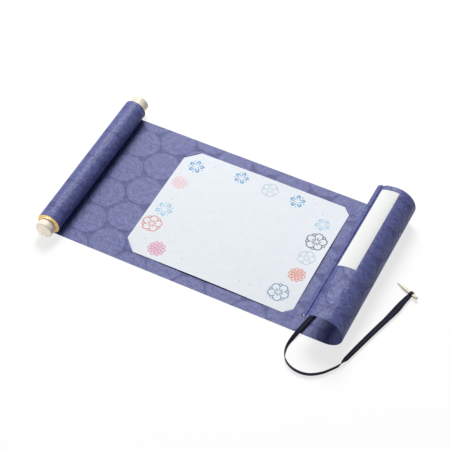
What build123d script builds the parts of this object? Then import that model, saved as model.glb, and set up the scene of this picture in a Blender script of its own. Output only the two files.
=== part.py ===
from build123d import *
import math
import os

# Presentation scroll, partly unrolled, with a message card tucked into its mounting sheet.
# The part lies on its sheet: +X runs along the sheet from the roll to the curl, +Y to the back, +Z up.
# The origin is at the middle of the base, without the tie ribbon and its pin.

# Mounting sheet: one length of patterned paper from the roll to the hem, wider than the card on both sides
sheet_thickness = 0.4
flat_length = 341.0
side_margin = 16.25

# Roll at the left end: the outer turn and the turns inside it, wound round the core
roll_radius = 13.85
inner_turns = 1
turn_gap = 0.2

# Curl at the right end, by the radii of its outer face
curl_low_radius = 21.6
curl_high_radius = 23.2
curl_lead_radius = 40.0
curl_lead_turn = 36.4

# Hem folded round a rod at the leading edge and glued down
hem_radius = 2.3
hem_wall = 0.8
hem_proud = 0.6
rod_clearance = 0.1
rod_recess = 0.5

# Core tube, which stands out of the roll at both ends
tube_wall = 2.6
tube_proud = 1.5
tube_recess = 1.0
tube_rim = 1.1
tube_edge = 0.4

# Turned knobs plugged into the core tube
knob_reach = 12.5
knob_plug = 18.0
knob_clearance = 0.1
knob_flare = 0.7
knob_edge = 1.8

# Message card, its corners tucked under four diagonal slits
card_length = 210.0
card_width = 167.5
card_thickness = 0.3
card_from_roll = 188.4
slit_cut = 11.85
slit_from_roll = 191.5
slit_clearance = 0.1
slit_margin = 1.5
slit_slope = 4.0

# Title label glued along the outside of the curl, measured along the sheet from the curl's highest line
label_length = 120.0
label_thickness = 0.15
label_from_back = 7.0
label_before_top = 5.5
label_after_top = 17.9
glue_line = 0.05

# Tie ribbon, sewn to the hem, and the tapered pin in the loop at its end
ribbon_width = 5.0
ribbon_thickness = 0.8
arc_share = 0.45
ribbon_route = [
    (142.6, 6.0, 32.7),
    (143.6, 4.5, 23.7),
    (147.0, -4.0, 13.0),
    (150.0, -20.0, 5.6),
    (149.0, -42.0, 3.3),
    (143.6, -66.0, 3.3),
    (138.6, -91.0, 3.3),
    (135.0, -110.0, 2.8),
    (133.4, -124.0, 2.6),
    (137.8, -138.5, 2.6),
    (151.0, -147.0, 2.6),
    (167.5, -147.2, 2.6),
    (181.0, -138.5, 2.6),
    (193.2, -122.5, 2.6),
    (197.9, -102.0, 2.6),
    (208.0, -67.0, 2.6),
    (218.6, -31.0, 2.6),
    (222.3, -10.5, 2.6),
    (225.6, -0.4, 2.85),
]
pin_tip = (206.7, 8.5)
pin_head = (234.2, -3.5)
pin_tip_radius = 0.7
pin_head_radius = 1.3
pin_radius = 1.6
pin_edge = 0.5
pin_clearance = 0.1

# Places that follow from the sizes
sheet_width = card_width + 2 * side_margin
half_sheet = sheet_thickness / 2
turn_pitch = sheet_thickness + turn_gap
roll_x = -(flat_length + curl_low_radius - roll_radius) / 2
curl_x = roll_x + flat_length
tube_radius = roll_radius - sheet_thickness - inner_turns * turn_pitch - turn_gap
bore_radius = tube_radius - tube_wall
rod_radius = hem_radius - hem_wall - rod_clearance
card_x = roll_x + card_from_roll
slit_x = roll_x + slit_from_roll
roll_moves = [(roll_radius - half_sheet - n * turn_pitch / 2, -180) for n in range(2 * inner_turns + 1)]
curl_moves = [
    (curl_low_radius - half_sheet, 90),
    (curl_high_radius - half_sheet, 90),
    (curl_lead_radius - half_sheet, curl_lead_turn),
]
top_x = curl_x + curl_low_radius - curl_high_radius
top_z = curl_low_radius + curl_high_radius
hem_arm = curl_lead_radius - hem_radius + hem_proud
hem_x = top_x - hem_arm * math.sin(math.radians(curl_lead_turn))
hem_z = top_z - curl_lead_radius + hem_arm * math.cos(math.radians(curl_lead_turn))


def aim(heading):
    """Unit vector at a heading in degrees, in the plane of the sheet's section."""
    return Vector(math.cos(math.radians(heading)), math.sin(math.radians(heading)))


def walk(start, heading, moves, offset):
    """Arcs of a line that turns by (radius, degrees) moves, set off to its left by an offset."""
    here = Vector(*start) + aim(heading + 90) * offset
    arcs = []
    for radius, turn in moves:
        arc = JernArc(here, aim(heading), radius - math.copysign(1, turn) * offset, turn)
        arcs.append(arc)
        here = arc @ 1
        heading += turn
    return arcs


def strip(start, heading, moves, left, right):
    """Face between two lines that follow the same moves, set off by left and right."""
    left_arcs = walk(start, heading, moves, left)
    right_arcs = walk(start, heading, moves, right)
    caps = [Line(left_arcs[0] @ 0, right_arcs[0] @ 0), Line(left_arcs[-1] @ 1, right_arcs[-1] @ 1)]
    return make_face(left_arcs + right_arcs + caps)


def across(section, front, back):
    """Extrudes a section of the sheet from its front place to its back place along Y."""
    return extrude(Plane.XZ.offset(-back) * section, amount=back - front)


def corner_pocket(side, end):
    """Raised lip of the sheet beyond a slit, over one tucked corner of the card."""
    cut = slit_cut + side * (card_x - slit_x)
    corner = Vector(card_x + side * card_length / 2, end * card_width / 2)

    def triangle(margin, height):
        reach = cut + 2 * margin
        outer = corner + Vector(side, end) * margin
        points = [outer, outer - Vector(side * reach, 0), outer - Vector(0, end * reach)]
        return Pos(0, 0, height) * make_face(Polyline(*points, close=True))

    lip_height = 2 * sheet_thickness + card_thickness + slit_clearance
    return loft([triangle(slit_margin + slit_slope, 0), triangle(slit_margin, lip_height)], ruled=True)


def mounting_sheet():
    """Roll, flat, curl and hem in one section, with the four card slits."""
    roll = strip((roll_x, half_sheet), 180, roll_moves, half_sheet, -half_sheet)
    flat = Pos((roll_x + curl_x) / 2, half_sheet) * Rectangle(flat_length, sheet_thickness)
    curl = strip((curl_x, half_sheet), 0, curl_moves, half_sheet, -half_sheet)
    hem = Pos(hem_x, hem_z) * Circle(hem_radius)
    bore = Pos(hem_x, hem_z) * Circle(hem_radius - hem_wall)
    sheet = across(roll + flat + curl + hem - bore, -sheet_width / 2, sheet_width / 2)
    for side in (-1, 1):
        for end in (-1, 1):
            pocket = corner_pocket(side, end)
            sheet = sheet + pocket - Pos(0, 0, -sheet_thickness) * pocket
    return sheet


def roll_axis(end):
    """Frame at the sheet's edge on the roll's axis, with Z pointing out of that end."""
    return Plane((roll_x, end * sheet_width / 2, roll_radius), x_dir=(1, 0, 0), z_dir=(0, end, 0))


def core_tube():
    """Gold-faced paper tube with a stepped mouth at each end."""
    length = sheet_width + 2 * tube_proud
    axis = Plane((roll_x, 0, roll_radius), x_dir=(1, 0, 0), z_dir=(0, 1, 0))
    tube = Cylinder(tube_radius, length)
    tube = chamfer(tube.edges().filter_by(GeomType.CIRCLE), tube_edge)
    tube -= Cylinder(bore_radius, length)
    for end in (-1, 1):
        tube -= Pos(0, 0, end * (length - tube_recess) / 2) * Cylinder(tube_radius - tube_rim, tube_recess)
    return axis * tube


def knob(end):
    """Turned knob: a plug in the tube, a gently flared neck and a rounded end."""
    neck = bore_radius - knob_clearance
    lip = neck + knob_flare
    plug = [(0, -knob_plug), (neck, -knob_plug), (neck, tube_proud)]
    profile = make_face(Polyline(*plug, (lip, knob_reach), (0, knob_reach), close=True))
    profile = fillet(profile.vertices().sort_by(Axis.X)[-1], knob_edge)
    turned = revolve(Plane.XZ * profile, Axis.Z)
    return roll_axis(end) * turned


def hem_rod():
    """Thin round stick inside the hem, a little shorter than the hem."""
    length = sheet_width - 2 * rod_recess
    return Pos(hem_x, 0, hem_z) * Rot(90, 0, 0) * Cylinder(rod_radius, length)


def message_card():
    """Plain card on the flat sheet."""
    return Pos(card_x, 0, sheet_thickness + card_thickness / 2) * Box(card_length, card_width, card_thickness)


def title_label():
    """Paper strip that follows the outside of the curl over its top."""
    low, (high_radius, high_turn), (lead_radius, _) = curl_moves
    before = math.degrees(label_before_top / high_radius)
    after = math.degrees(label_after_top / lead_radius)
    climb = walk((curl_x, half_sheet), 0, [low, (high_radius, high_turn - before)], 0)
    heading = low[1] + high_turn - before
    inside = -half_sheet - glue_line
    moves = [(high_radius, before), (lead_radius, after)]
    section = strip(climb[-1] @ 1, heading, moves, inside, inside - label_thickness)
    back = sheet_width / 2 - label_from_back
    return across(section, back - label_length, back)


def route_radii(points):
    """Largest arc that the two runs beside each inner point leave room for."""
    radii = []
    for before, here, after in zip(points, points[1:], points[2:]):
        first = Vector(*here) - Vector(*before)
        second = Vector(*after) - Vector(*here)
        half_turn = math.radians(first.get_angle(second)) / 2
        radii.append(arc_share * min(first.length, second.length) / math.tan(half_turn))
    return radii


def pin_axis():
    """Frame on the pin's axis at the ribbon's end, with Z towards the pin's head."""
    loop = Vector(*ribbon_route[-1])
    flat = Vector(pin_head[0] - pin_tip[0], pin_head[1] - pin_tip[1])
    to_tip = (loop - Vector(*pin_tip, loop.Z)).length
    rise = (loop.Z - pin_tip_radius) / to_tip
    return Plane(loop, z_dir=flat.normalized() + Vector(0, 0, rise))


def tie_ribbon():
    """Ribbon as a round tube of its own width, with the sewn loop that holds the pin."""
    radii = route_radii(ribbon_route)
    print("ribbon radii", [round(radius, 1) for radius in radii])
    path = FilletPolyline(*ribbon_route, radius=radii)
    section = Plane(path @ 0, z_dir=path % 0) * Circle(ribbon_width / 2)
    tube = sweep(section, path=path)
    print("ribbon length", round(path.length, 1), "volume", round(tube.volume, 1))
    print("section times length", round(math.pi * (ribbon_width / 2) ** 2 * path.length, 1))
    hole = pin_radius + pin_clearance
    loop = pin_axis() * Cylinder(hole + ribbon_thickness, ribbon_width)
    return tube + loop - pin_axis() * Cylinder(hole, 2 * ribbon_width)


def clasp_pin():
    """Peg that tapers from the loop to a rounded head and a finer, rounded tip."""
    loop = Vector(*ribbon_route[-1])
    to_tip = (loop - Vector(*pin_tip, loop.Z)).length
    to_head = (loop - Vector(*pin_head, loop.Z)).length
    tip = [(0, -to_tip), (pin_tip_radius, -to_tip)]
    head = [(pin_head_radius, to_head), (0, to_head)]
    profile = make_face(Polyline(*tip, (pin_radius, 0), *head, close=True))
    for end in (0, -1):
        corner = profile.vertices().group_by(Axis.Y)[end].sort_by(Axis.X)[-1]
        profile = fillet(corner, pin_edge)
    return pin_axis() * revolve(Plane.XZ * profile, Axis.Z)


pieces = {
    "mounting_sheet": mounting_sheet(),
    "core_tube": core_tube(),
    "front_knob": knob(-1),
    "back_knob": knob(1),
    "hem_rod": hem_rod(),
    "message_card": message_card(),
    "title_label": title_label(),
    "tie_ribbon": tie_ribbon(),
    "clasp_pin": clasp_pin(),
}
os.makedirs("parts", exist_ok=True)
for name, piece in pieces.items():
    export_step(piece, f"parts/{name}.step")
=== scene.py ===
import math
from collections import namedtuple

import bmesh
import bpy
from mathutils import Matrix, Vector, noise
from mathutils.geometry import delaunay_2d_cdt


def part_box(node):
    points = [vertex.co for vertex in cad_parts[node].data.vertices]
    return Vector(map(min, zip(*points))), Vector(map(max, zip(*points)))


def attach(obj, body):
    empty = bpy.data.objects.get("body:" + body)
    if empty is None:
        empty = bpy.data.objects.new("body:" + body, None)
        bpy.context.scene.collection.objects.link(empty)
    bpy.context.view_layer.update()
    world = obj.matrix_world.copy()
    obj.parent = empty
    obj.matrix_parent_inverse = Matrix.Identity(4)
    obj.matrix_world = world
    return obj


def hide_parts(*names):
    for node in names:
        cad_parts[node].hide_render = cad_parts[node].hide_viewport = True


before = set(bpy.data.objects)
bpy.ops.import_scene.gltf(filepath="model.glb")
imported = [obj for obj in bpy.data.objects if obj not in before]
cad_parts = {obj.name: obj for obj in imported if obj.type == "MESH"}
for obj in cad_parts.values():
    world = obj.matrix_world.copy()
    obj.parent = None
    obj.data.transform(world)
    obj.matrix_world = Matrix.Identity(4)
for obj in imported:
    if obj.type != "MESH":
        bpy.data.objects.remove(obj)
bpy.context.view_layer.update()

# All lengths are in metres, with MM for sizes that are easier to read in millimetres
MM = 0.001
BODY = "root"
QUARTER = math.pi / 2
UP = Vector((0, 0, 1))

# Camera at the photograph's angle, aimed beside the card's middle
CAMERA_AZIMUTH = 26.925
CAMERA_ELEVATION = 50.381
CAMERA_DISTANCE = 1650.99 * MM
CAMERA_RIGHT = -14.48 * MM
CAMERA_UP = 3.73 * MM
FOCAL_PIXELS = 1452.07
IMAGE_PIXELS = 450
SENSOR_MM = 36.0

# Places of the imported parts
card_low, card_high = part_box("message_card")
_, sheet_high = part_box("mounting_sheet")
tube_low, tube_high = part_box("core_tube")
rod_low, rod_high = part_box("hem_rod")
label_low, label_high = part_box("title_label")
card_centre = (card_low + card_high) / 2
tube_centre = (tube_low + tube_high) / 2
rod_centre = (rod_low + rod_high) / 2

# Mounting sheet: its section from the roll to the hem
SHEET_THICKNESS = card_low.z
HALF_SHEET = SHEET_THICKNESS / 2
HALF_WIDTH = sheet_high.y
ROLL_X = tube_centre.x
ROLL_RADIUS = tube_centre.z
ROLL_HALF_TURNS = 3
TURN_GAP = 0.2 * MM
CURL_LOW_RADIUS = 21.6 * MM
CURL_HIGH_RADIUS = sheet_high.z - CURL_LOW_RADIUS
CURL_LEAD_RADIUS = 40.0 * MM
CURL_LEAD_TURN = math.radians(36.4)
CURL_X = sheet_high.x - CURL_LOW_RADIUS
FLAT_LENGTH = CURL_X - ROLL_X
CURL_MOVES = [
    (CURL_LOW_RADIUS - HALF_SHEET, QUARTER),
    (CURL_HIGH_RADIUS - HALF_SHEET, QUARTER),
    (CURL_LEAD_RADIUS - HALF_SHEET, CURL_LEAD_TURN),
]
ROLL_MOVES = [
    (ROLL_RADIUS - HALF_SHEET - n * (SHEET_THICKNESS + TURN_GAP) / 2, -math.pi)
    for n in range(ROLL_HALF_TURNS)
]
CURL_LENGTH = sum(radius * turn for radius, turn in CURL_MOVES)
CURL_TOP = FLAT_LENGTH + sum(radius * turn for radius, turn in CURL_MOVES[:2])
ROLL_LENGTH = sum(radius * -turn for radius, turn in ROLL_MOVES)
SHEET_END = FLAT_LENGTH + CURL_LENGTH

# Mesh spacing of the sheet, its slow waves and the hem's small skew from back to front
CURVE_STEP = 1.2 * MM
FLAT_STEP = 3.0 * MM
ACROSS_STEP = 2.5 * MM
WAVE_HEIGHT = 0.25 * MM
WAVE_LENGTH = 70.0 * MM
WAVE_FADE = 4 * ROLL_RADIUS
HEM_SKEW = Vector((1.0, 1.7)) * MM

# Slits that hold the card's corners, by their cut at the left and right ends of the card
SLIT_CUT = {-1: 14.95 * MM, 1: 8.75 * MM}
SLIT_MARGIN = 1.5 * MM
LIP_HEIGHT = 1.05 * MM
LIP_REACH = {-1: 20.0 * MM, 1: 14.0 * MM}
LIP_SPREAD = 0.3
LIP_END_POWER = 6
CORNER_DIP = 0.3 * MM
CORNER_DIP_REACH = 5.0 * MM
CUT_TOLERANCE = 1e-6

# Hem round its rod, with the rod's place in its bore, and the dip of the sheet beside it
HEM_RADIUS = 2.3 * MM
HEM_BORE = 1.9 * MM
HEM_SIDES = 24
HEM_UNEVEN = 0.035
HEM_UNEVEN_SIZE = 9.0 * MM
HEM_DIP = 0.7 * MM
HEM_DIP_START = 10.5 * MM
HEM_DIP_END = 6.0 * MM
ROD_SIDE = 0.35 * MM
ROD_EASE = 0.25 * MM
ROD_SIDES = 32

# Glued fold of the hem, in millimetres from the rod's middle: (towards the label, outwards)
HEM_FOLD = [
    (2.4, 0.45),
    (3.6, 0.6),
    (4.8, 0.75),
    (4.75, 2.1),
    (4.45, 2.33),
    (3.4, 2.36),
    (2.2, 2.35),
    (1.1, 2.33),
]

# Card: its place along the sheet, its half sizes and its lift between its tucked corners
CARD_S = card_centre.x - ROLL_X
CARD_HALF_X = (card_high.x - card_low.x) / 2
CARD_HALF_Y = (card_high.y - card_low.y) / 2
CARD_THICKNESS = card_high.z - card_low.z
CARD_LIFTS = {"left": 0.4 * MM, "right": 1.7 * MM, "front": 1.1 * MM, "back": 0.5 * MM}
CARD_LIFT_POWER = 6
CARD_STEP = 7.0 * MM
PRINT_TOLERANCE = 1e-7

# Title label on the curl, along the sheet from the curl's highest line
LABEL_BEFORE_TOP = 4.0 * MM
LABEL_AFTER_TOP = 17.9 * MM
LABEL_THICKNESS = 0.15 * MM
GLUE_LINE = 0.05 * MM
LABEL_STEP = 1.5 * MM

# Round flower medallions of the sheet's pattern, in staggered columns
MEDALLION_PITCH = 43.0 * MM
MEDALLION_COLUMN = 37.3 * MM
MEDALLION_S = 65.9 * MM
MEDALLION_Y = 1.0 * MM
MEDALLION_WANDER = 2.5 * MM
MEDALLION_WANDER_SIZE = 4.0 * MM

# A medallion's drawing: (from, to, soft edge) of its bands by shares of its radius
RIM_BAND = (0.86, 0.95, 0.04)
PETAL_BAND = (0.42, 0.74, 0.05)
EYE_BAND = (0.57, 0.69, 0.04)
ROSETTE_BAND = (0.13, 0.33, 0.04)
DISC_EDGE = (1.03, 0.9)
PETAL_WAVES = 8.0
PETAL_POINT = 0.06
PETAL_SIDE = (0.1, 0.6)
EYE_SIDE = (0.7, 0.95)
ROSETTE_WAVES = 4.0
ROSETTE_SIDE = (0.15, 0.5)

# How much lighter each part of a medallion is than the ground
DISC_TONE = 0.22
RIM_TONE = 0.08
PETAL_TONE = 0.16
EYE_TONE = -0.16
ROSETTE_TONE = 0.13

# The sheet's paper: colours, blotches, crumples where it is bent (their tone paints mottled shade on
# the roll and curl), fibres and gloss
PAPER_DARK = (0.042, 0.049, 0.175)
PAPER_LIGHT = (0.142, 0.165, 0.44)
PAPER_TONES = (-0.3, 1.3)
BLOTCH_SIZE = 6.0 * MM
BLOTCH_GROUND = 0.4
CRUMPLE_SIZE = 3.6 * MM
# Tone of the crumples: painted mottled shade in the colour of the roll and curl
CRUMPLE_SHADE_TONE = 0.9
FIBRE_SIZE = 0.7 * MM
FIBRE_STRETCH = (1.0, 0.3, 1.0)
FIBRE_TONE = 0.3
FIBRE_RELIEF = 0.1
PAPER_RELIEF = 0.7 * MM
PAPER_ROUGHNESS = 0.62
DISC_GLOSS = 0.05
TONE_GLOSS = 0.1
BENT_GLOSS = 0.02

# Plain papers by their light and dark colours, and how much darker an ink's shade is
LABEL_COLOURS = ((0.89, 0.9, 0.89), (0.86, 0.87, 0.86))
CARD_COLOURS = ((0.82, 0.86, 0.91), (0.78, 0.82, 0.87))
INK_SHADE = 0.9

# Gold paper by its dark and light colours, and its uneven roughness
GOLD_COLOURS = ((0.86, 0.57, 0.2), (0.97, 0.76, 0.38))
GOLD_ROUGHNESS = 0.25
GOLD_UNEVEN = 0.2

# Woods by their light and dark colours and the size of their grain, which runs along Y
KNOB_WOOD = ((0.96, 0.89, 0.77), (0.91, 0.82, 0.67), 2.4 * MM)
ROD_WOOD = ((0.92, 0.87, 0.78), (0.78, 0.7, 0.56), 1.0 * MM)
PIN_WOOD = ((0.9, 0.85, 0.68), (0.78, 0.71, 0.52), 0.8 * MM)
GRAIN_STRETCH = (1.0, 0.08, 1.0)
SPECK_STRETCH = (1.0, 0.05, 1.0)
SPECKS_PER_GRAIN = 5

# Ribbon's braid: colours of its strands and of a painted highlight along its middle, the sizes of both,
# and how strongly the highlight is painted
STRAND_COLOURS = ((0.003, 0.003, 0.007), (0.01, 0.012, 0.027))
PAINTED_HIGHLIGHT_COLOUR = (0.03, 0.034, 0.07)
PAINTED_HIGHLIGHT_EDGES = (0.9 * MM, 0.3 * MM)
PAINTED_HIGHLIGHT_SHARE = 0.8
STRAND_PITCH = 0.9 * MM

# Tie ribbon's route in millimetres
RIBBON_ROUTE = [
    (142.6, 6.0, 32.7),
    (143.6, 4.5, 23.7),
    (147.0, -4.0, 13.0),
    (150.0, -20.0, 5.6),
    (149.0, -42.0, 3.3),
    (143.6, -66.0, 3.3),
    (138.6, -91.0, 3.3),
    (135.0, -110.0, 2.8),
    (133.4, -124.0, 2.6),
    (137.8, -138.5, 2.6),
    (151.0, -147.0, 2.6),
    (167.5, -147.2, 2.6),
    (181.0, -138.5, 2.6),
    (189.6, -127.2, 2.6),
    (193.4, -121.6, 2.6),
    (195.6, -114.5, 2.6),
    (199.0, -101.0, 2.6),
    (208.0, -67.0, 2.6),
    (218.6, -31.0, 2.6),
    (222.3, -10.5, 2.6),
    (225.6, -0.4, 2.85),
]
RIBBON_THICKNESS = 0.8 * MM
RIBBON_RINGS_PER_RUN = 14

# Turn of the ribbon's flat side about its route, in degrees by the share of its length
RIBBON_TURNS = [
    (0.0, 0),
    (0.33, 10),
    (0.41, 70),
    (0.47, 90),
    (0.645, 88),
    (0.685, 5),
    (0.75, 0),
    (1.0, 0),
]

# Ribbon's width in millimetres by the share of its length, and its section
RIBBON_WIDTHS = [
    (0.0, 5.0),
    (0.63, 5.0),
    (0.75, 6.2),
    (0.86, 6.6),
    (0.93, 8.0),
    (0.975, 6.4),
    (1.0, 5.2),
]
RIBBON_SIDES = 32
RIBBON_EDGE_POWER = 0.6
RIBBON_FACE_POWER = 0.45
RIBBON_CREASE = 0.45
RIBBON_CREASE_WIDTH = 0.2

# Clasp pin: flat, pointed at its tip, through a loop at the ribbon's end, half widths in millimetres
PIN_TIP = Vector((206.0, 10.1, 0.7)) * MM
PIN_HEAD = Vector((234.4, -2.7, 3.7)) * MM
PIN_HALF_WIDTHS = [(0.0, 0.6), (0.15, 1.5), (0.4, 2.4), (0.65, 2.5), (0.92, 2.4), (1.0, 1.3)]
PIN_FLATNESS = 0.68
PIN_RINGS = 24
PIN_SIDES = 24
LOOP_SHARE = 0.7
LOOP_HALF_WIDTH = 2.3 * MM
LOOP_THICKNESS = 0.7 * MM
LOOP_GAP = 0.05 * MM
LOOP_SIDES = 36

# Loop's section: (along the pin by its half width, out by its thickness)
LOOP_SECTION = [
    (-1.0, 0.1),
    (-0.8, 1.0),
    (0.8, 1.0),
    (1.0, 0.1),
    (0.8, 0.0),
    (-0.8, 0.0),
]

# Knobs: flat-ended, with a flared neck, the back one further out
KNOB_PLUG = 9.95 * MM
KNOB_NECK = 9.85 * MM
KNOB_LIP = 10.65 * MM
KNOB_EDGE = 1.8 * MM
KNOB_CROWN = 0.35 * MM
KNOB_FLARE_POWER = 1.5
KNOB_EDGE_STEPS = 9
KNOB_EXTRA = {-1: 0.0, 1: 2.0 * MM}
TURNED_SIDES = 96

# Gold paper at the tube's ends: bright rim over the inner turn, dark groove, low inner ring
TUBE_BORE = 10.05 * MM
TUBE_RADIUS = (tube_high.x - tube_low.x) / 2
RIM_RADIUS = 13.6 * MM
RIM_RISE = 0.6 * MM
RIM_GAP = 0.05 * MM
RIM_FOOT = 0.2
RIM_STEPS = 8

# Section of the tube's end: (out from its bore in millimetres, past its end by the rim's rise)
COLLAR = [
    (0.0, -4.0),
    (0.0, 2.0),
    (0.15, 2.25),
    (0.55, 2.0),
    (1.75, 0.6),
    (1.9, -0.3),
    (2.1, -0.3),
    (2.25, RIM_FOOT),
]

# Lamps and surroundings
KEY_PLACE = Vector((-0.8, 1.73, 2.33))
KEY_SIZE = 1.4
KEY_WATTS = 101.0
FRONT_PLACE = Vector((-1.1, -2.6, 0.4))
FRONT_SIZE = 0.6
FRONT_WATTS = 34.0
SKY_LEVEL = 0.04
FLOOR_BOUNCE = 0.95
FLOOR_COLOUR = 0.3
FLOOR_GLOW = 0.75
FLOOR_SIZE = 12.0
FLOOR_DROP = 0.02 * MM

# Largest angle in degrees between faces that are shaded as one
SMOOTH_ANGLE = 40
ROUND_SMOOTH_ANGLE = 60


def smooth(low, high, value):
    """Share from 0 at low to 1 at high, with soft ends."""
    share = min(max((value - low) / (high - low), 0.0), 1.0)
    return share * share * (3 - 2 * share)


def steps(low, high, spacing):
    """Evenly spaced values from low to high, about a spacing apart."""
    count = max(1, round((high - low) / spacing))
    return [low + (high - low) * n / count for n in range(count + 1)]


def full_turn(count):
    """Angles of a full turn in even steps."""
    return [math.tau * n / count for n in range(count)]


def walk(x, z, heading, moves, distance):
    """Place and heading at a distance along arcs given as (radius, turn)."""
    for radius, turn in moves:
        part = min(distance, radius * abs(turn))
        side = math.copysign(1, turn)
        centre_x = x - side * radius * math.sin(heading)
        centre_z = z + side * radius * math.cos(heading)
        heading += side * part / radius
        x = centre_x + side * radius * math.sin(heading)
        z = centre_z - side * radius * math.cos(heading)
        distance -= part
    return x, z, heading


def middle_line(s):
    """Place and heading on the sheet's middle line, at s along it from under the roll's axis."""
    if s < 0:
        x, z, heading = walk(ROLL_X, HALF_SHEET, math.pi, ROLL_MOVES, -s)
        return x, z, heading + math.pi
    if s <= FLAT_LENGTH:
        return ROLL_X + s, HALF_SHEET, 0.0
    return walk(CURL_X, HALF_SHEET, 0.0, CURL_MOVES, s - FLAT_LENGTH)


def paper_wave(s, y):
    """Slow waves of paper that has been rolled up, none under the roll."""
    place = Vector((s, y, 0)) / WAVE_LENGTH
    return WAVE_HEIGHT * (0.5 + 0.5 * noise.noise(place)) * smooth(0, WAVE_FADE, s)


def sheet_point(s, y, lift=0.0):
    """Point of the sheet, lifted from its middle line towards the face that is up on the flat."""
    x, z, heading = middle_line(s)
    dip = HEM_DIP * smooth(SHEET_END - HEM_DIP_START, SHEET_END - HEM_DIP_END, s)
    lift += paper_wave(s, y) + dip
    skew = HEM_SKEW * smooth(FLAT_LENGTH, SHEET_END, s) * y / HALF_WIDTH
    return Vector((x - math.sin(heading) * lift + skew.x, y, z + math.cos(heading) * lift + skew.y))


class Graph:
    """Short calls for making a material's nodes."""

    def __init__(self, name):
        self.material = bpy.data.materials.new(name)
        self.material.use_nodes = True
        self.tree = self.material.node_tree
        self.shader = self.tree.nodes["Principled BSDF"]

    def node(self, kind, **settings):
        made = self.tree.nodes.new(kind)
        for name, value in settings.items():
            setattr(made, name, value)
        return made

    def feed(self, socket, value):
        if isinstance(value, bpy.types.NodeSocket):
            self.tree.links.new(value, socket)
        else:
            socket.default_value = value

    def math(self, operation, *values):
        made = self.node("ShaderNodeMath", operation=operation)
        for socket, value in zip(made.inputs, values):
            self.feed(socket, value)
        return made.outputs[0]

    def ramp(self, value, low, high):
        """Soft share of a value between low and high, falling where high is below low."""
        made = self.node("ShaderNodeMapRange", interpolation_type="SMOOTHSTEP")
        self.feed(made.inputs["Value"], value)
        rising = high > low
        self.feed(made.inputs["From Min"], low if rising else high)
        self.feed(made.inputs["From Max"], high if rising else low)
        self.feed(made.inputs["To Min"], 0.0 if rising else 1.0)
        self.feed(made.inputs["To Max"], 1.0 if rising else 0.0)
        return made.outputs["Result"]

    def band(self, value, low, high, edge):
        """1 between low and high, with soft edges."""
        rise = self.ramp(value, low - edge, low + edge)
        fall = self.ramp(value, high + edge, high - edge)
        return self.math("MULTIPLY", rise, fall)

    def weigh(self, *parts):
        """Sum of values, each given with its weight."""
        total = None
        for value, weight in parts:
            part = self.math("MULTIPLY", value, weight)
            total = part if total is None else self.math("ADD", total, part)
        return total

    def centred(self, value):
        """A noise's value from its middle."""
        return self.math("SUBTRACT", value, 0.5)

    def mix(self, share, low, high):
        made = self.node("ShaderNodeMix", data_type="RGBA")
        self.feed(made.inputs["Factor"], share)
        for name, value in (("A", low), ("B", high)):
            socket = next(s for s in made.inputs if s.name == name and s.type == "RGBA")
            self.feed(socket, value if isinstance(value, bpy.types.NodeSocket) else (*value, 1.0))
        return next(s for s in made.outputs if s.type == "RGBA")

    def place(self, source="Object"):
        return self.node("ShaderNodeTexCoord").outputs[source]

    def stretch(self, vector, scale):
        made = self.node("ShaderNodeMapping")
        self.feed(made.inputs["Vector"], vector)
        made.inputs["Scale"].default_value = scale
        return made.outputs["Vector"]

    def noise(self, vector, size, detail):
        """Noise with features of about the given size."""
        made = self.node("ShaderNodeTexNoise")
        self.feed(made.inputs["Vector"], vector)
        made.inputs["Scale"].default_value = 1 / size
        made.inputs["Detail"].default_value = detail
        return made.outputs["Fac"]

    def bump(self, height, distance):
        made = self.node("ShaderNodeBump")
        made.inputs["Strength"].default_value = 1.0
        made.inputs["Distance"].default_value = distance
        self.feed(made.inputs["Height"], height)
        self.feed(self.shader.inputs["Normal"], made.outputs["Normal"])

    def set(self, **values):
        for name, value in values.items():
            label = name.replace("_", " ")
            socket = next(s for s in self.shader.inputs if s.name.lower() == label)
            if isinstance(value, tuple):
                value = (*value, 1.0)
            self.feed(socket, value)


def medallion_place(g, along, across):
    """Distance from the nearest medallion's middle, as a share of its radius, and angle round it."""
    half = MEDALLION_PITCH / 2
    places = []
    for shift in (0, 1):
        a = g.math("SUBTRACT", along, shift * MEDALLION_COLUMN)
        a = g.math("WRAP", a, MEDALLION_COLUMN, -MEDALLION_COLUMN)
        b = g.math("WRAP", g.math("SUBTRACT", across, shift * half), half, -half)
        squares = g.math("ADD", g.math("MULTIPLY", a, a), g.math("MULTIPLY", b, b))
        places.append((a, b, g.math("SQRT", squares)))
    (a0, b0, r0), (a1, b1, r1) = places
    first = g.math("LESS_THAN", r0, r1)
    second = g.math("SUBTRACT", 1.0, first)
    a = g.weigh((a0, first), (a1, second))
    b = g.weigh((b0, first), (b1, second))
    radius = g.math("DIVIDE", g.math("MINIMUM", r0, r1), half)
    return radius, g.math("ARCTAN2", b, a)


def medallion_tone(g, radius, angle):
    """A medallion's disc, and its tone with rim, petals, their eyes and an inner rosette."""
    spokes = g.math("ABSOLUTE", g.math("SINE", g.math("MULTIPLY", angle, PETAL_WAVES)))
    inner_spokes = g.math("ABSOLUTE", g.math("SINE", g.math("MULTIPLY", angle, ROSETTE_WAVES)))
    disc = g.ramp(radius, *DISC_EDGE)
    rim = g.band(radius, *RIM_BAND)
    tip = g.math("SUBTRACT", radius, g.math("MULTIPLY", spokes, PETAL_POINT))
    petal = g.math("MULTIPLY", g.band(tip, *PETAL_BAND), g.ramp(spokes, *PETAL_SIDE))
    eye = g.math("MULTIPLY", g.band(radius, *EYE_BAND), g.ramp(spokes, *EYE_SIDE))
    rosette = g.math("MULTIPLY", g.band(radius, *ROSETTE_BAND), g.ramp(inner_spokes, *ROSETTE_SIDE))
    tone = g.weigh((rim, RIM_TONE), (petal, PETAL_TONE), (eye, EYE_TONE), (rosette, ROSETTE_TONE))
    return disc, g.math("MULTIPLY", g.math("ADD", tone, DISC_TONE), disc)


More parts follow.
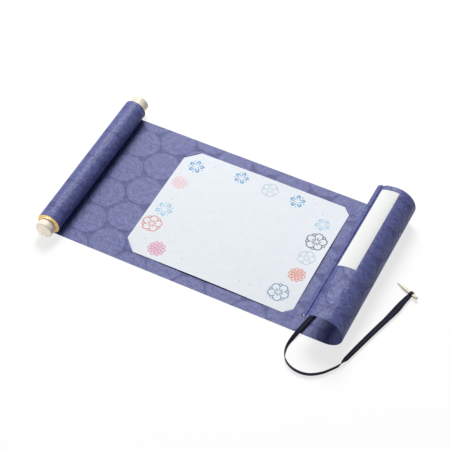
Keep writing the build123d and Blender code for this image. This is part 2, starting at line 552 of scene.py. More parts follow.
def mounting_paper():
    """Blue-violet paper with tone-on-tone flower medallions in staggered columns."""
    g = Graph("mounting_paper")
    flat = g.place("UV")
    uv = g.node("ShaderNodeSeparateXYZ")
    g.feed(uv.inputs[0], flat)
    wander = g.centred(g.noise(flat, MEDALLION_WANDER_SIZE, detail=3.0))
    wander = g.math("MULTIPLY", wander, MEDALLION_WANDER)
    along = g.math("ADD", g.math("SUBTRACT", uv.outputs["X"], MEDALLION_S), wander)
    across = g.math("SUBTRACT", g.math("SUBTRACT", uv.outputs["Y"], MEDALLION_Y), wander)
    disc, tone = medallion_tone(g, *medallion_place(g, along, across))
    blotch = g.noise(flat, BLOTCH_SIZE, detail=3.0)
    fibre = g.noise(g.stretch(flat, FIBRE_STRETCH), FIBRE_SIZE, detail=3.0)
    rolled = g.ramp(uv.outputs["X"], 2 * ROLL_RADIUS, 0.0)
    curled = g.ramp(uv.outputs["X"], FLAT_LENGTH, FLAT_LENGTH + CURL_LOW_RADIUS)
    bent = g.math("MAXIMUM", rolled, curled)
    # Crumples only where the sheet is bent: their relief is a bump, and their tone paints mottled shade
    # into the colour of the roll and curl
    crumple_and_shade = g.math("MULTIPLY", g.centred(g.noise(flat, CRUMPLE_SIZE, detail=1.5)), bent)
    relief = g.math("ADD", tone, g.math("SUBTRACT", blotch, BLOTCH_GROUND))
    relief = g.math("ADD", relief, g.math("MULTIPLY", crumple_and_shade, CRUMPLE_SHADE_TONE))
    tone = g.math("ADD", relief, g.math("MULTIPLY", g.centred(fibre), FIBRE_TONE))
    gloss = g.weigh((disc, DISC_GLOSS), (tone, TONE_GLOSS), (bent, BENT_GLOSS))
    g.set(base_color=g.mix(g.ramp(tone, *PAPER_TONES), PAPER_DARK, PAPER_LIGHT))
    g.set(roughness=g.math("SUBTRACT", PAPER_ROUGHNESS, gloss), specular_ior_level=0.46)
    g.bump(g.math("ADD", g.math("MULTIPLY", fibre, FIBRE_RELIEF), relief), PAPER_RELIEF)
    return g.material


def plain_paper(name, light, dark, roughness):
    """Smooth paper with faint fibres and cloudy formation."""
    g = Graph(name)
    cloud = g.noise(g.place(), size=9.0 * MM, detail=4.0)
    fibre = g.noise(g.stretch(g.place(), FIBRE_STRETCH), size=0.8 * MM, detail=3.0)
    share = g.ramp(g.weigh((cloud, 0.6), (fibre, 0.4)), low=0.3, high=0.7)
    g.set(base_color=g.mix(share, dark, light), roughness=roughness, specular_ior_level=0.3)
    g.bump(fibre, distance=0.02 * MM)
    return g.material


def gold_paper():
    """Metallic gold paper, a little creased and unevenly bright."""
    g = Graph("gold_paper")
    cloud = g.noise(g.place(), size=2.5 * MM, detail=4.0)
    g.set(base_color=g.mix(cloud, *GOLD_COLOURS), metallic=0.55)
    g.set(roughness=g.math("ADD", GOLD_ROUGHNESS, g.math("MULTIPLY", cloud, GOLD_UNEVEN)))
    g.bump(g.noise(g.place(), size=0.6 * MM, detail=2.0), distance=0.03 * MM)
    return g.material


def turned_wood(name, light, dark, grain):
    """Pale wood with grain along its length and faint turning marks."""
    g = Graph(name)
    lines = g.noise(g.stretch(g.place(), GRAIN_STRETCH), size=grain, detail=5.0)
    specks = g.noise(g.stretch(g.place(), SPECK_STRETCH), size=grain / SPECKS_PER_GRAIN, detail=2.0)
    share = g.ramp(g.weigh((lines, 0.7), (specks, 0.3)), low=0.35, high=0.65)
    g.set(base_color=g.mix(share, dark, light), roughness=0.42, specular_ior_level=0.4)
    g.bump(specks, distance=0.02 * MM)
    return g.material


def ribbon_cloth():
    """Near-black navy flat braid: slanted strands that meet along the middle, with a painted highlight
    along the middle.
    """
    g = Graph("ribbon_cloth")
    uv = g.node("ShaderNodeSeparateXYZ")
    g.feed(uv.inputs[0], g.place("UV"))
    from_middle = g.math("ABSOLUTE", uv.outputs["Y"])
    slant = g.math("MULTIPLY", g.math("ADD", uv.outputs["X"], from_middle), math.pi / STRAND_PITCH)
    strand = g.math("ABSOLUTE", g.math("SINE", slant))
    fuzz = g.noise(g.place(), size=0.4 * MM, detail=2.0)
    colour = g.mix(g.weigh((strand, 0.7), (fuzz, 0.3)), *STRAND_COLOURS)
    # Painted highlight: a lighter stripe along the middle of the braid, standing in for its sheen
    middle = g.math("MULTIPLY", g.ramp(from_middle, *PAINTED_HIGHLIGHT_EDGES), PAINTED_HIGHLIGHT_SHARE)
    g.set(base_color=g.mix(middle, colour, PAINTED_HIGHLIGHT_COLOUR), roughness=0.75)
    g.set(specular_ior_level=0.15, sheen_weight=0.04, sheen_roughness=0.4)
    g.bump(strand, distance=0.12 * MM)
    return g.material


def add_piece(name, mesh, materials, smooth_angle=SMOOTH_ANGLE):
    """Links a finished mesh as a piece of the part that rides on its one body."""
    for material in materials:
        mesh.materials.append(material)
    mesh.shade_smooth()
    mesh.set_sharp_from_angle(angle=math.radians(smooth_angle))
    piece = bpy.data.objects.new(name, mesh)
    bpy.context.scene.collection.objects.link(piece)
    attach(piece, BODY)
    return piece


def grid_faces(bm, rows, closed=False):
    """Faces between rows of vertices, joined end to end where closed."""
    for first, second in zip(rows, rows[1:]):
        count = len(first) if closed else len(first) - 1
        for n in range(count):
            m = (n + 1) % len(first)
            bm.faces.new((first[n], first[m], second[m], second[n]))


def add_face(bm, corners, turned):
    """Face over its corners, taken the other way round where turned."""
    bm.faces.new(corners[::-1] if turned else corners)


def turned_rows(bm, profile, sides):
    """Rings of vertices about Z at (radius, height) points."""
    turns = full_turn(sides)
    return [[bm.verts.new((r * math.cos(t), r * math.sin(t), h)) for t in turns] for r, h in profile]


def set_uv(faces, uv_layer, place):
    """Gives each corner of the faces the texture place of its vertex."""
    for face in faces:
        for loop in face.loops:
            loop[uv_layer].uv = place(loop.vert)


def seen_from_above(vert):
    """Texture place of a vertex by its x and y."""
    return vert.co.xy


def close_tube(bm, rings):
    """Faces along rings of vertices, with both ends closed."""
    grid_faces(bm, rings, closed=True)
    bm.faces.new(rings[0][::-1])
    bm.faces.new(rings[-1])
    bmesh.ops.recalc_face_normals(bm, faces=bm.faces)


def mesh_from(bm, name):
    """Moves a finished bmesh into a new mesh."""
    mesh = bpy.data.meshes.new(name)
    bm.to_mesh(mesh)
    bm.free()
    return mesh


class Slit:
    """One diagonal slit, in the sheet's own flat coordinates."""

    def __init__(self, side, end):
        corner = Vector((CARD_S, 0.0)) + Vector((side * CARD_HALF_X, end * CARD_HALF_Y))
        cut = SLIT_CUT[side]
        self.reach = LIP_REACH[side]
        self.first = corner + Vector((-side * (cut + SLIT_MARGIN), end * SLIT_MARGIN))
        self.last = corner + Vector((side * SLIT_MARGIN, -end * (cut + SLIT_MARGIN)))
        self.middle = (self.first + self.last) / 2
        self.half = (self.last - self.first).length / 2
        self.along = (self.last - self.first).normalized()
        self.beyond = Vector((side, end)).normalized()

    def depth(self, place):
        """Distance past the slit, towards the card's hidden corner."""
        return (place - self.middle).dot(self.beyond)

    def share(self, place):
        """Place along the slit, from -1 to 1 between its ends."""
        return (place - self.middle).dot(self.along) / self.half

    def lip(self, place):
        """Rise of the sheet past the slit, over the card's corner."""
        depth = max(self.depth(place), 0.0)
        if depth >= self.reach:
            return 0.0
        spread = abs(self.share(place)) * self.half / (self.half + LIP_SPREAD * depth)
        height = LIP_HEIGHT * max(1 - spread**LIP_END_POWER, 0.0)
        return height * (1 - (depth / self.reach) ** 2) ** 2


SLITS = [Slit(side, end) for side in (-1, 1) for end in (-1, 1)]


def cut_slit(bm, slit):
    """Cuts the flat sheet along a slit, so that its two sides can part."""
    room = slit.half + slit.reach
    faces = [f for f in bm.faces if (f.calc_center_median().xy - slit.middle).length < room]
    edges = {edge for face in faces for edge in face.edges}
    verts = {vert for face in faces for vert in face.verts}
    cut = bmesh.ops.bisect_plane(
        bm,
        geom=[*verts, *edges, *faces],
        dist=CUT_TOLERANCE,
        plane_co=(*slit.middle, 0),
        plane_no=(*slit.beyond, 0),
    )
    edges = [e for e in cut["geom_cut"] if isinstance(e, bmesh.types.BMEdge)]
    inner = [e for e in edges if abs(slit.share((e.verts[0].co.xy + e.verts[1].co.xy) / 2)) < 1]
    bmesh.ops.split_edges(bm, edges=inner)


def lip_of(vert):
    """Rise of a vertex of the flat sheet, by the side of the slits that its faces lie on."""
    middle = Vector((0.0, 0.0))
    for face in vert.link_faces:
        middle += face.calc_center_median().xy / len(vert.link_faces)
    return max((slit.lip(vert.co.xy) for slit in SLITS if slit.depth(middle) > 0), default=0.0)


def hem_outline():
    """Hem's section about its rod: round the leading edge, then the fold's underside, edge and top."""
    turns = [QUARTER + (math.tau - QUARTER) * n / HEM_SIDES for n in range(HEM_SIDES + 1)]
    points = [Vector((math.cos(turn), math.sin(turn))) * HEM_RADIUS for turn in turns]
    return points + [Vector(point) * MM for point in HEM_FOLD]


def hem_bead(bm, uv_layer):
    """Closed tube of paper round the hem's rod, along the sheet's leading edge, with its glued fold."""
    outline = hem_outline()
    tilt = Matrix.Rotation(CURL_LEAD_TURN, 2)
    outer, inner = [], []
    marks = {}
    for y in steps(-HALF_WIDTH, HALF_WIDTH, 2 * ACROSS_STEP):
        skew = HEM_SKEW * y / HALF_WIDTH
        rows = ([], [])
        for point in outline:
            for row, local in zip(rows, (point, point.normalized() * HEM_BORE)):
                place = Vector((y / HEM_UNEVEN_SIZE, *point.normalized()))
                x, z = tilt @ local * (1 + HEM_UNEVEN * noise.noise(place))
                vert = bm.verts.new((rod_centre.x + skew.x + x, y, rod_centre.z + skew.y + z))
                marks[vert] = (SHEET_END - local.x, y)
                row.append(vert)
        outer.append(rows[0])
        inner.append(rows[1][::-1])
    first_face = len(bm.faces)
    grid_faces(bm, outer, closed=True)
    grid_faces(bm, inner, closed=True)
    count = len(outline)
    for n in range(count):
        m = (n + 1) % count
        for row, bore, turned in ((outer[0], inner[0], True), (outer[-1], inner[-1], False)):
            add_face(bm, (row[n], row[m], bore[count - 1 - m], bore[count - 1 - n]), turned)
    bm.faces.ensure_lookup_table()
    faces = bm.faces[first_face:]
    set_uv(faces, uv_layer, marks.get)
    bmesh.ops.recalc_face_normals(bm, faces=faces)


def mounting_sheet(material):
    """Paper sheet in one length: roll, flat with the card's slits, curl and hem."""
    bm = bmesh.new()
    uv_layer = bm.loops.layers.uv.new("UVMap")
    lengths = steps(-ROLL_LENGTH, 0.0, CURVE_STEP)[:-1] + steps(0.0, FLAT_LENGTH, FLAT_STEP)[:-1]
    lengths += steps(FLAT_LENGTH, SHEET_END - HEM_BORE, CURVE_STEP)
    widths = steps(-HALF_WIDTH, HALF_WIDTH, ACROSS_STEP)
    rows = [[bm.verts.new((s, y, 0)) for s in lengths] for y in widths]
    grid_faces(bm, rows)
    for slit in SLITS:
        cut_slit(bm, slit)
    set_uv(bm.faces, uv_layer, seen_from_above)
    lifts = {vert: lip_of(vert) for vert in bm.verts}
    for vert, lift in lifts.items():
        vert.co = sheet_point(vert.co.x, vert.co.y, lift)
    single = bpy.data.objects.new("sheet_middle", mesh_from(bm, "sheet_middle"))
    bpy.context.scene.collection.objects.link(single)
    thick = single.modifiers.new("thickness", "SOLIDIFY")
    thick.thickness = SHEET_THICKNESS
    thick.offset = 0.0
    evaluated = single.evaluated_get(bpy.context.evaluated_depsgraph_get())
    bm = bmesh.new()
    bm.from_mesh(evaluated.to_mesh())
    bpy.data.objects.remove(single)
    hem_bead(bm, bm.loops.layers.uv["UVMap"])
    mesh = mesh_from(bm, "mounting_sheet_paper")
    piece = add_piece("mounting_sheet_paper", mesh, [material])
    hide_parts("mounting_sheet")


def lathe(profile, sides):
    """Turned closed mesh about Z from (radius, height) points that start and end on the axis."""
    bm = bmesh.new()
    rows = turned_rows(bm, profile[1:-1], sides)
    grid_faces(bm, rows, closed=True)
    for row, (_, height), turned in ((rows[0], profile[0], True), (rows[-1], profile[-1], False)):
        pole = bm.verts.new((0, 0, height))
        for n in range(sides):
            add_face(bm, (row[n], row[(n + 1) % sides], pole), turned)
    return bm


def knob(end, material):
    """Turned knob at one end of the roll: plug, flared neck, rounded edge and faint crown."""
    name = "back_knob" if end > 0 else "front_knob"
    low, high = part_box(name)
    plug = HALF_WIDTH - min(abs(low.y), abs(high.y))
    reach = max(abs(low.y), abs(high.y)) - HALF_WIDTH + KNOB_EXTRA[end]
    profile = [(0.0, -plug), (KNOB_PLUG, -plug), (KNOB_PLUG, RIM_RISE)]
    neck = 2 * RIM_RISE
    shoulder = reach - KNOB_EDGE - KNOB_CROWN
    for share in (0.0, 0.25, 0.5, 0.75, 1.0):
        radius = KNOB_NECK + (KNOB_LIP - KNOB_NECK) * share**KNOB_FLARE_POWER
        profile.append((radius, neck + (shoulder - neck) * share))
    for n in range(1, KNOB_EDGE_STEPS + 1):
        turn = QUARTER * n / KNOB_EDGE_STEPS
        radius = KNOB_LIP - KNOB_EDGE * (1 - math.cos(turn))
        profile.append((radius, shoulder + KNOB_EDGE * math.sin(turn)))
    for share in (0.75, 0.5, 0.25):
        profile.append(((KNOB_LIP - KNOB_EDGE) * share, reach - KNOB_CROWN * share**2))
    profile.append((0.0, reach))
    bm = lathe(profile, TURNED_SIDES)
    turn = Matrix.Rotation(-QUARTER * end, 4, "X")
    bm.transform(Matrix.Translation((ROLL_X, end * HALF_WIDTH, ROLL_RADIUS)) @ turn)
    piece = add_piece(f"{name}_wood", mesh_from(bm, name), [material])
    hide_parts(name)


def core_tube(material):
    """Gold paper tube in the roll, with a rolled rim and a groove round the knob at each end."""
    end = HALF_WIDTH + RIM_GAP
    half_loop = [(TUBE_BORE + out * MM, end + past * RIM_RISE) for out, past in COLLAR]
    middle = (half_loop[-1][0] + RIM_RADIUS) / 2
    half_rim = RIM_RADIUS - middle
    for n in range(1, RIM_STEPS + 1):
        turn = math.pi * n / RIM_STEPS
        height = end + RIM_FOOT * RIM_RISE + (1 - RIM_FOOT) * RIM_RISE * math.sin(turn)
        half_loop.append((middle - half_rim * math.cos(turn), height))
    half_loop += [(RIM_RADIUS, end), (TUBE_RADIUS, end), (TUBE_RADIUS, half_loop[0][1])]
    loop = half_loop + [(radius, -height) for radius, height in reversed(half_loop)]
    bm = bmesh.new()
    rows = turned_rows(bm, loop, TURNED_SIDES)
    grid_faces(bm, [*rows, rows[0]], closed=True)
    bm.transform(Matrix.Translation((ROLL_X, 0, ROLL_RADIUS)) @ Matrix.Rotation(QUARTER, 4, "X"))
    bmesh.ops.recalc_face_normals(bm, faces=bm.faces)
    piece = add_piece("core_tube_gold", mesh_from(bm, "core_tube_gold"), [material])
    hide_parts("core_tube")


def hem_rod(material):
    """Round stick in the hem, with the hem's skew and slightly eased ends."""
    radius = (rod_high.x - rod_low.x) / 2
    half = rod_high.y
    near_end = [(radius, half - ROD_EASE), (radius - ROD_EASE, half), (0, half)]
    profile = [(out, -height) for out, height in reversed(near_end)] + near_end
    bm = lathe(profile, ROD_SIDES)
    for vert in bm.verts:
        y = vert.co.z
        skew = HEM_SKEW * y / HALF_WIDTH
        x = rod_centre.x + ROD_SIDE + vert.co.x + skew.x
        vert.co = (x, y, rod_centre.z + vert.co.y + skew.y)
    bmesh.ops.reverse_faces(bm, faces=bm.faces)
    piece = add_piece("hem_rod_stick", mesh_from(bm, "hem_rod_stick"), [material])
    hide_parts("hem_rod")


def title_label(material):
    """Plain paper label that follows the outside of the curl over its top."""
    bm = bmesh.new()
    uv_layer = bm.loops.layers.uv.new("UVMap")
    inside = -HALF_SHEET - GLUE_LINE
    places = steps(CURL_TOP - LABEL_BEFORE_TOP, CURL_TOP + LABEL_AFTER_TOP, LABEL_STEP)
    rings = []
    for y in steps(label_low.y, label_high.y, 2 * ACROSS_STEP):
        ring = [bm.verts.new(sheet_point(s, y, inside)) for s in places]
        ring += [bm.verts.new(sheet_point(s, y, inside - LABEL_THICKNESS)) for s in reversed(places)]
        rings.append(ring)
    grid_faces(bm, rings, closed=True)
    last = len(rings[0]) - 1
    for ring, turned in ((rings[0], True), (rings[-1], False)):
        for n in range(len(places) - 1):
            add_face(bm, (ring[n], ring[n + 1], ring[last - n - 1], ring[last - n]), turned)
    set_uv(bm.faces, uv_layer, seen_from_above)
    bmesh.ops.recalc_face_normals(bm, faces=bm.faces)
    mesh = mesh_from(bm, "title_label_paper")
    piece = add_piece("title_label_paper", mesh, [material])
    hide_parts("title_label")


# Printed flowers: (ink, x, y, radius, turn in degrees), in millimetres from the card's middle
SOLID_FLOWERS = [
    ("blue", -85.5, 62.0, 9.8, 90),
    ("blue", -30.0, 70.0, 9.0, 85),
    ("blue", 43.5, 67.0, 9.5, 100),
    ("light_blue", -88.0, -13.0, 10.4, 70),
    ("light_blue", 84.0, 48.0, 9.2, 60),
]
ROUND_FLOWERS = [
    ("slate", 88.0, 22.0, 13.0, 90),
    ("coral", -90.5, -38.0, 12.2, 95),
    ("pale_blue", 8.0, 68.0, 10.6, 80),
    ("pale_blue", 88.0, -4.0, 10.6, 75),
    ("mid_blue", 80.5, -61.0, 12.6, 65),
]
FULL_FLOWERS = [
    ("pale_pink", -91.0, 31.0, 10.0, 0),
    ("pink", -68.0, -68.0, 10.8, 10),
    ("coral", 88.5, -30.5, 10.2, 5),
]
LOOSE_DOTS = [
    (-66, 71),
    (-44.5, 66),
    (62.5, 73),
    (78, 62),
    (-87, 5),
    (-87, -61),
    (-36, -68),
    (35, -67),
    (48, -66),
]
INKS = {
    "blue": (0.13, 0.37, 0.62),
    "light_blue": (0.38, 0.62, 0.78),
    "slate": (0.1, 0.14, 0.19),
    "coral": (0.7, 0.25, 0.21),
    "pale_blue": (0.5, 0.62, 0.72),
    "mid_blue": (0.19, 0.31, 0.45),
    "pale_pink": (0.85, 0.58, 0.64),
    "pink": (0.7, 0.32, 0.47),
    "coral_tint": (0.85, 0.66, 0.63),
    "pale_pink_tint": (0.84, 0.76, 0.8),
    "pink_tint": (0.82, 0.64, 0.72),
    "faint": (0.62, 0.6, 0.62),
}

# Ovals of each kind of flower, by shares of the flower's radius, with the number of their sides
Oval = namedtuple("Oval", "reach length width sides")
PETALS = 5
SOLID_PETAL = Oval(0.64, 0.36, 0.27, 22)
SOLID_SLOT = Oval(0.46, 0.3, 0.085, 14)
SOLID_DOT = Oval(0.9, 0.1, 0.085, 10)
SOLID_STAMEN = Oval(0.26, 0.14, 0.025, 8)
ROUND_TIP = Oval(0.72, 0.25, 0.25, 24)
ROUND_TIP_INSIDE = Oval(0.72, 0.16, 0.16, 24)
ROUND_PETAL = Oval(0.58, 0.42, 0.42, 24)
ROUND_PETAL_INSIDE = Oval(0.58, 0.31, 0.31, 24)
ROUND_MIDDLE = Oval(0.0, 0.3, 0.3, 20)
ROUND_LINE = Oval(0.3, 0.2, 0.03, 10)
ROUND_STAMEN = Oval(0.3, 0.16, 0.055, 12)
FULL_RINGS = [
    (10, Oval(0.74, 0.27, 0.235, 16)),
    (7, Oval(0.45, 0.23, 0.2, 16)),
    (4, Oval(0.18, 0.17, 0.15, 16)),
]
FULL_LINE = 0.085
FULL_SHIFT = 0.02
FULL_INSIDE_SIDES = 14
LOOSE_DOT = Oval(0.0, 1.0, 1.0, 10)
LOOSE_DOT_RADIUS = 0.9


def outline_of(oval, x, y, radius, turn):
    """Outline of an oval of the flower at x and y, pointing away from the flower's middle."""
    along = Vector((math.cos(turn), math.sin(turn)))
    side = Vector((-along.y, along.x))
    centre = Vector((x, y)) + along * (oval.reach * radius)
    length = along * (oval.length * radius)
    width = side * (oval.width * radius)
    return [centre + length * math.cos(t) + width * math.sin(t) for t in full_turn(oval.sides)]


def solid_flower(ink, x, y, radius, turn):
    """Five solid petals, each open towards the middle, with a dot between each pair."""
    shapes = []
    for n in range(PETALS):
        angle = math.radians(turn) + math.tau * n / PETALS
        between = angle + math.pi / PETALS
        shapes.append((ink, outline_of(SOLID_PETAL, x, y, radius, angle)))
        shapes.append((None, outline_of(SOLID_SLOT, x, y, radius, angle)))
        shapes.append((ink, outline_of(SOLID_DOT, x, y, radius, between)))
        shapes.append((ink, outline_of(SOLID_STAMEN, x, y, radius, between)))
    return shapes


def round_flower(ink, x, y, radius, turn):
    """Five outlined round petals with small outlined tips between them and a star of stamens."""
    axes = [math.radians(turn) + math.tau * n / PETALS for n in range(PETALS)]
    gaps = [angle + math.pi / PETALS for angle in axes]
    layers = [
        (ink, ROUND_TIP, gaps),
        (None, ROUND_TIP_INSIDE, gaps),
        (ink, ROUND_PETAL, axes),
        (None, ROUND_PETAL_INSIDE, axes),
        (None, ROUND_MIDDLE, [0.0]),
        (ink, ROUND_LINE, gaps),
        (ink, ROUND_STAMEN, axes),
    ]
    return [
        (colour, outline_of(oval, x, y, radius, angle))
        for colour, oval, angles in layers
        for angle in angles
    ]


def full_flower(ink, x, y, radius, turn):
    """Round flower of outlined petals in three rings, the inner ones over the outer ones."""
    shapes = []
    for count, petal in FULL_RINGS:
        inside = Oval(
            petal.reach - FULL_SHIFT,
            petal.length - FULL_LINE,
            petal.width - FULL_LINE,
            FULL_INSIDE_SIDES,
        )
        for n in range(count):
            angle = math.radians(turn) + math.tau * (n + 0.5 * (count % 2)) / count
            shapes.append((ink, outline_of(petal, x, y, radius, angle)))
            shapes.append((f"{ink}_tint", outline_of(inside, x, y, radius, angle)))
    return shapes


def card_shapes():
    """All printed outlines, later ones over earlier ones, in metres from the card's middle."""
    shapes = []
    for flower in SOLID_FLOWERS:
        shapes += solid_flower(*flower)
    for flower in ROUND_FLOWERS:
        shapes += round_flower(*flower)
    for flower in FULL_FLOWERS:
        shapes += full_flower(*flower)
    for x, y in LOOSE_DOTS:
        shapes.append(("faint", outline_of(LOOSE_DOT, x, y, LOOSE_DOT_RADIUS, 0.0)))
    return [(ink, [point * MM for point in points]) for ink, points in shapes]


def card_height(x, y):
    """Height of the card's underside: lifted between its corners, lower in its pockets."""
    u, v = x / CARD_HALF_X, y / CARD_HALF_Y
    ends = CARD_LIFTS["right" if u > 0 else "left"] * (1 - v * v) ** 2 * u**CARD_LIFT_POWER
    sides = CARD_LIFTS["back" if v > 0 else "front"] * (1 - u * u) ** 2 * v**CARD_LIFT_POWER
    place = Vector((CARD_S + x, y))
    dip = max(smooth(0, CORNER_DIP_REACH, slit.depth(place)) for slit in SLITS)
    return HALF_SHEET + GLUE_LINE + ends + sides - CORNER_DIP * dip


def card_point(x, y, rise):
    """Point of the card, at a rise above its underside."""
    return sheet_point(CARD_S + x, y, card_height(x, y) + rise)


def message_card(paper, inks):
    """Card with printed flowers: one closed mesh, its top cut along the print's outlines."""
    columns = steps(-CARD_HALF_X, CARD_HALF_X, CARD_STEP)
    points = [Vector((x, y)) for y in steps(-CARD_HALF_Y, CARD_HALF_Y, CARD_STEP) for x in columns]
    names = list(inks)
    loops = []
    kinds = []
    for ink, outline in card_shapes():
        loops.append(list(range(len(points), len(points) + len(outline))))
        points += outline
        kinds.append(names.index(ink) + 1 if ink else 0)
    flat, _, faces, _, _, sources = delaunay_2d_cdt(points, [], loops, 0, PRINT_TOLERANCE)
    bm = bmesh.new()
    uv_layer = bm.loops.layers.uv.new("UVMap")
    tops = [bm.verts.new(card_point(p.x, p.y, CARD_THICKNESS)) for p in flat]
    bases = [bm.verts.new(card_point(p.x, p.y, 0.0)) for p in flat]
    border = {}
    for corners, source in zip(faces, sources):
        top = bm.faces.new([tops[c] for c in corners])
        top.material_index = kinds[max(source)] if source else 0
        bm.faces.new([bases[c] for c in reversed(corners)])
        for first, second in zip(corners, [*corners[1:], corners[0]]):
            if border.pop((second, first), None) is None:
                border[(first, second)] = True
    for first, second in border:
        bm.faces.new((tops[second], tops[first], bases[first], bases[second]))
    set_uv(bm.faces, uv_layer, seen_from_above)
    mesh = mesh_from(bm, "message_card_print")
    piece = add_piece("message_card_print", mesh, [paper, *inks.values()])
    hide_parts("message_card")


def ribbon_path():
    """Points along the smooth line of the ribbon's route."""
    curve = bpy.data.curves.new("ribbon_route", "CURVE")
    curve.dimensions = "3D"
    spline = curve.splines.new("NURBS")
    spline.points.add(len(RIBBON_ROUTE) - 1)
    for point, place in zip(spline.points, RIBBON_ROUTE):
        point.co = (*(Vector(place) * MM), 1.0)
    spline.order_u = 3
    spline.use_endpoint_u = True
    spline.resolution_u = RIBBON_RINGS_PER_RUN
    route = bpy.data.objects.new("ribbon_route", curve)
    mesh = bpy.data.meshes.new_from_object(route)
    points = [vert.co.copy() for vert in mesh.vertices]
    bpy.data.objects.remove(route)
    bpy.data.meshes.remove(mesh)
    return points


def value_at(table, share):
    """Value at a share of the way along, smoothly between the table's (share, value) pairs."""
    for (low, first), (high, second) in zip(table, table[1:]):
        if share <= high:
            return first + (second - first) * smooth(low, high, share)
    return table[-1][1]


def pin_frame():
    """Pin's length, its direction, and the two directions across it."""
    along = PIN_HEAD - PIN_TIP
    side = along.cross(UP).normalized()
    return along.length, along.normalized(), side, side.cross(along).normalized()


def clasp_pin(material):
    """Flat tapered pin with rounded edges and a blunt head."""
    length, along, side, up = pin_frame()
    bm = bmesh.new()
    rings = []
    outline = [side * math.cos(t) + up * PIN_FLATNESS * math.sin(t) for t in full_turn(PIN_SIDES)]
    for n in range(PIN_RINGS + 1):
        share = n / PIN_RINGS
        half = value_at(PIN_HALF_WIDTHS, share) * MM
        centre = PIN_TIP + along * length * share
        rings.append([bm.verts.new(centre + point * half) for point in outline])
    close_tube(bm, rings)
    mesh = mesh_from(bm, "clasp_pin_bone")
    piece = add_piece("clasp_pin_bone", mesh, [material], ROUND_SMOOTH_ANGLE)
    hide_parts("clasp_pin")
    return piece


def ribbon_loop(material):
    """Band of the ribbon sewn round the pin."""
    length, along, side, up = pin_frame()
    half = value_at(PIN_HALF_WIDTHS, LOOP_SHARE) * MM
    centre = PIN_TIP + along * length * LOOP_SHARE
    bm = bmesh.new()
    rows = []
    for offset, rise in LOOP_SECTION:
        gap = LOOP_GAP + LOOP_THICKNESS * rise
        place = centre + along * LOOP_HALF_WIDTH * offset
        wide, high = side * (half + gap), up * (half * PIN_FLATNESS + gap)
        turns = full_turn(LOOP_SIDES)
        rows.append([bm.verts.new(place + wide * math.cos(t) + high * math.sin(t)) for t in turns])
    grid_faces(bm, [*rows, rows[0]], closed=True)
    bmesh.ops.recalc_face_normals(bm, faces=bm.faces)
    mesh = mesh_from(bm, "ribbon_loop")
    return add_piece("ribbon_loop", mesh, [material], ROUND_SMOOTH_ANGLE)


def ribbon_outline():
    """Ribbon's section: (across by its half width, out in metres), creased along the middle."""
    outline = []
    for turn in full_turn(RIBBON_SIDES):
        wide = math.copysign(abs(math.cos(turn)) ** RIBBON_EDGE_POWER, math.cos(turn))
        high = math.copysign(abs(math.sin(turn)) ** RIBBON_FACE_POWER, math.sin(turn))
        crease = RIBBON_CREASE * math.exp(-((wide / RIBBON_CREASE_WIDTH) ** 2))
        outline.append((wide, high * (1 - crease) * RIBBON_THICKNESS / 2))
    return outline


def tie_ribbon(material, fittings):
    """Flat braid along its route, lying flat, on its edge round the loop and flat again to the pin."""
    path = ribbon_path()
    travelled = [0.0]
    for before, after in zip(path, path[1:]):
        travelled.append(travelled[-1] + (after - before).length)
    bm = bmesh.new()
    uv_layer = bm.loops.layers.uv.new("UVMap")
    outline = ribbon_outline()
    rings = []
    marks = {}
    for n, point in enumerate(path):
        heading = (path[min(n + 1, len(path) - 1)] - path[max(n - 1, 0)]).normalized()
        level = heading.cross(UP).normalized()
        upright = level.cross(heading)
        share = travelled[n] / travelled[-1]
        turn = math.radians(value_at(RIBBON_TURNS, share))
        half = value_at(RIBBON_WIDTHS, share) * MM / 2
        wide = level * math.cos(turn) + upright * math.sin(turn)
        high = upright * math.cos(turn) - level * math.sin(turn)
        ring = []
        for a, b in outline:
            vert = bm.verts.new(point + wide * a * half + high * b)
            marks[vert] = (travelled[n], a * half)
            ring.append(vert)
        rings.append(ring)
    close_tube(bm, rings)
    set_uv(bm.faces, uv_layer, marks.get)
    mesh = mesh_from(bm, "tie_ribbon_braid")
    piece = add_piece("tie_ribbon_braid", mesh, [material])
    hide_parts("tie_ribbon")
    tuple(path[0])


def camera():
    """Camera at the photograph's angle."""
    azimuth, elevation = math.radians(CAMERA_AZIMUTH), math.radians(CAMERA_ELEVATION)
    level = math.cos(elevation)
    back = Vector((math.sin(azimuth) * level, -math.cos(azimuth) * level, math.sin(elevation)))
    right = UP.cross(back).normalized()
    up = back.cross(right)
    data = bpy.data.cameras.new("camera")
    data.sensor_width = SENSOR_MM
    data.lens = FOCAL_PIXELS / IMAGE_PIXELS * SENSOR_MM
    view = bpy.data.objects.new("camera", data)
    bpy.context.scene.collection.objects.link(view)
    aim = Vector((card_centre.x, card_centre.y, card_high.z))
    view.location = aim + back * CAMERA_DISTANCE + right * CAMERA_RIGHT + up * CAMERA_UP
    view.rotation_mode = "QUATERNION"
    view.rotation_quaternion = (-back).to_track_quat("-Z", "Y")
    bpy.context.scene.camera = view


def lamp(name, place, size, watts):
    """Square soft lamp aimed at the middle of the part."""
    data = bpy.data.lights.new(name, "AREA")
    data.size = size
    data.energy = watts
    made = bpy.data.objects.new(name, data)
    bpy.context.scene.collection.objects.link(made)
    made.location = place
    made.rotation_mode = "QUATERNION"
    made.rotation_quaternion = (-place).to_track_quat("-Z", "Y")


def seen_directly(tree):
    """1 for rays that show the background itself or its mirror image."""
    path = tree.nodes.new("ShaderNodeLightPath")
    total = path.outputs["Is Camera Ray"]
    for name in ("Is Glossy Ray", "Is Transmission Ray"):
        made = tree.nodes.new("ShaderNodeMath")
        made.operation = "MAXIMUM"
        tree.links.new(total, made.inputs[0])
        tree.links.new(path.outputs[name], made.inputs[1])
        total = made.outputs[0]
    return total


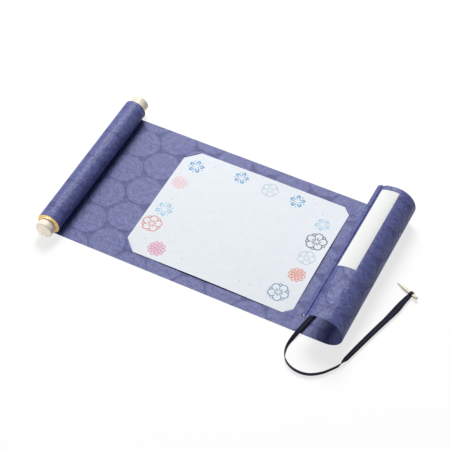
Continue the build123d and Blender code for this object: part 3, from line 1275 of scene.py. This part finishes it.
def surroundings():
    """White floor that keeps the part's shadow, pale sky and two soft lamps."""
    bm = bmesh.new()
    bmesh.ops.create_grid(bm, x_segments=1, y_segments=1, size=FLOOR_SIZE / 2)
    floor = bpy.data.objects.new("floor", mesh_from(bm, "floor"))
    bpy.context.scene.collection.objects.link(floor)
    floor.location.z = -FLOOR_DROP
    g = Graph("floor")
    seen = seen_directly(g.tree)
    g.set(base_color=g.mix(seen, (FLOOR_BOUNCE,) * 3, (FLOOR_COLOUR,) * 3))
    g.set(roughness=0.9, specular_ior_level=0.0)
    g.set(emission_color=(1.0, 1.0, 1.0), emission_strength=g.math("MULTIPLY", seen, FLOOR_GLOW))
    floor.data.materials.append(g.material)
    world = bpy.data.worlds.new("sky")
    bpy.context.scene.world = world
    world.use_nodes = True
    tree = world.node_tree
    level = tree.nodes.new("ShaderNodeMapRange")
    tree.links.new(seen_directly(tree), level.inputs["Value"])
    level.inputs["To Min"].default_value = SKY_LEVEL
    level.inputs["To Max"].default_value = 1.0
    tree.links.new(level.outputs["Result"], tree.nodes["Background"].inputs["Strength"])
    tree.nodes["Background"].inputs["Color"].default_value = (1.0, 1.0, 1.0, 1.0)
    lamp("key", KEY_PLACE, KEY_SIZE, KEY_WATTS)
    lamp("front", FRONT_PLACE, FRONT_SIZE, FRONT_WATTS)


camera()
surroundings()
braid = ribbon_cloth()
pin = clasp_pin(turned_wood("pin_wood", *PIN_WOOD))
tie_ribbon(braid, [pin, ribbon_loop(braid)])
mounting_sheet(mounting_paper())
pale_wood = turned_wood("knob_wood", *KNOB_WOOD)
knob(-1, pale_wood)
knob(1, pale_wood)
hem_rod(turned_wood("rod_wood", *ROD_WOOD))
title_label(plain_paper("label_paper", *LABEL_COLOURS, roughness=0.65))
card_paper = plain_paper("card_paper", *CARD_COLOURS, roughness=0.55)
card_inks = {
    name: plain_paper(f"ink_{name}", colour, tuple(INK_SHADE * part for part in colour), roughness=0.5)
    for name, colour in INKS.items()
}
message_card(card_paper, card_inks)
core_tube(gold_paper())

bpy.context.scene.view_settings.view_transform = "Standard"
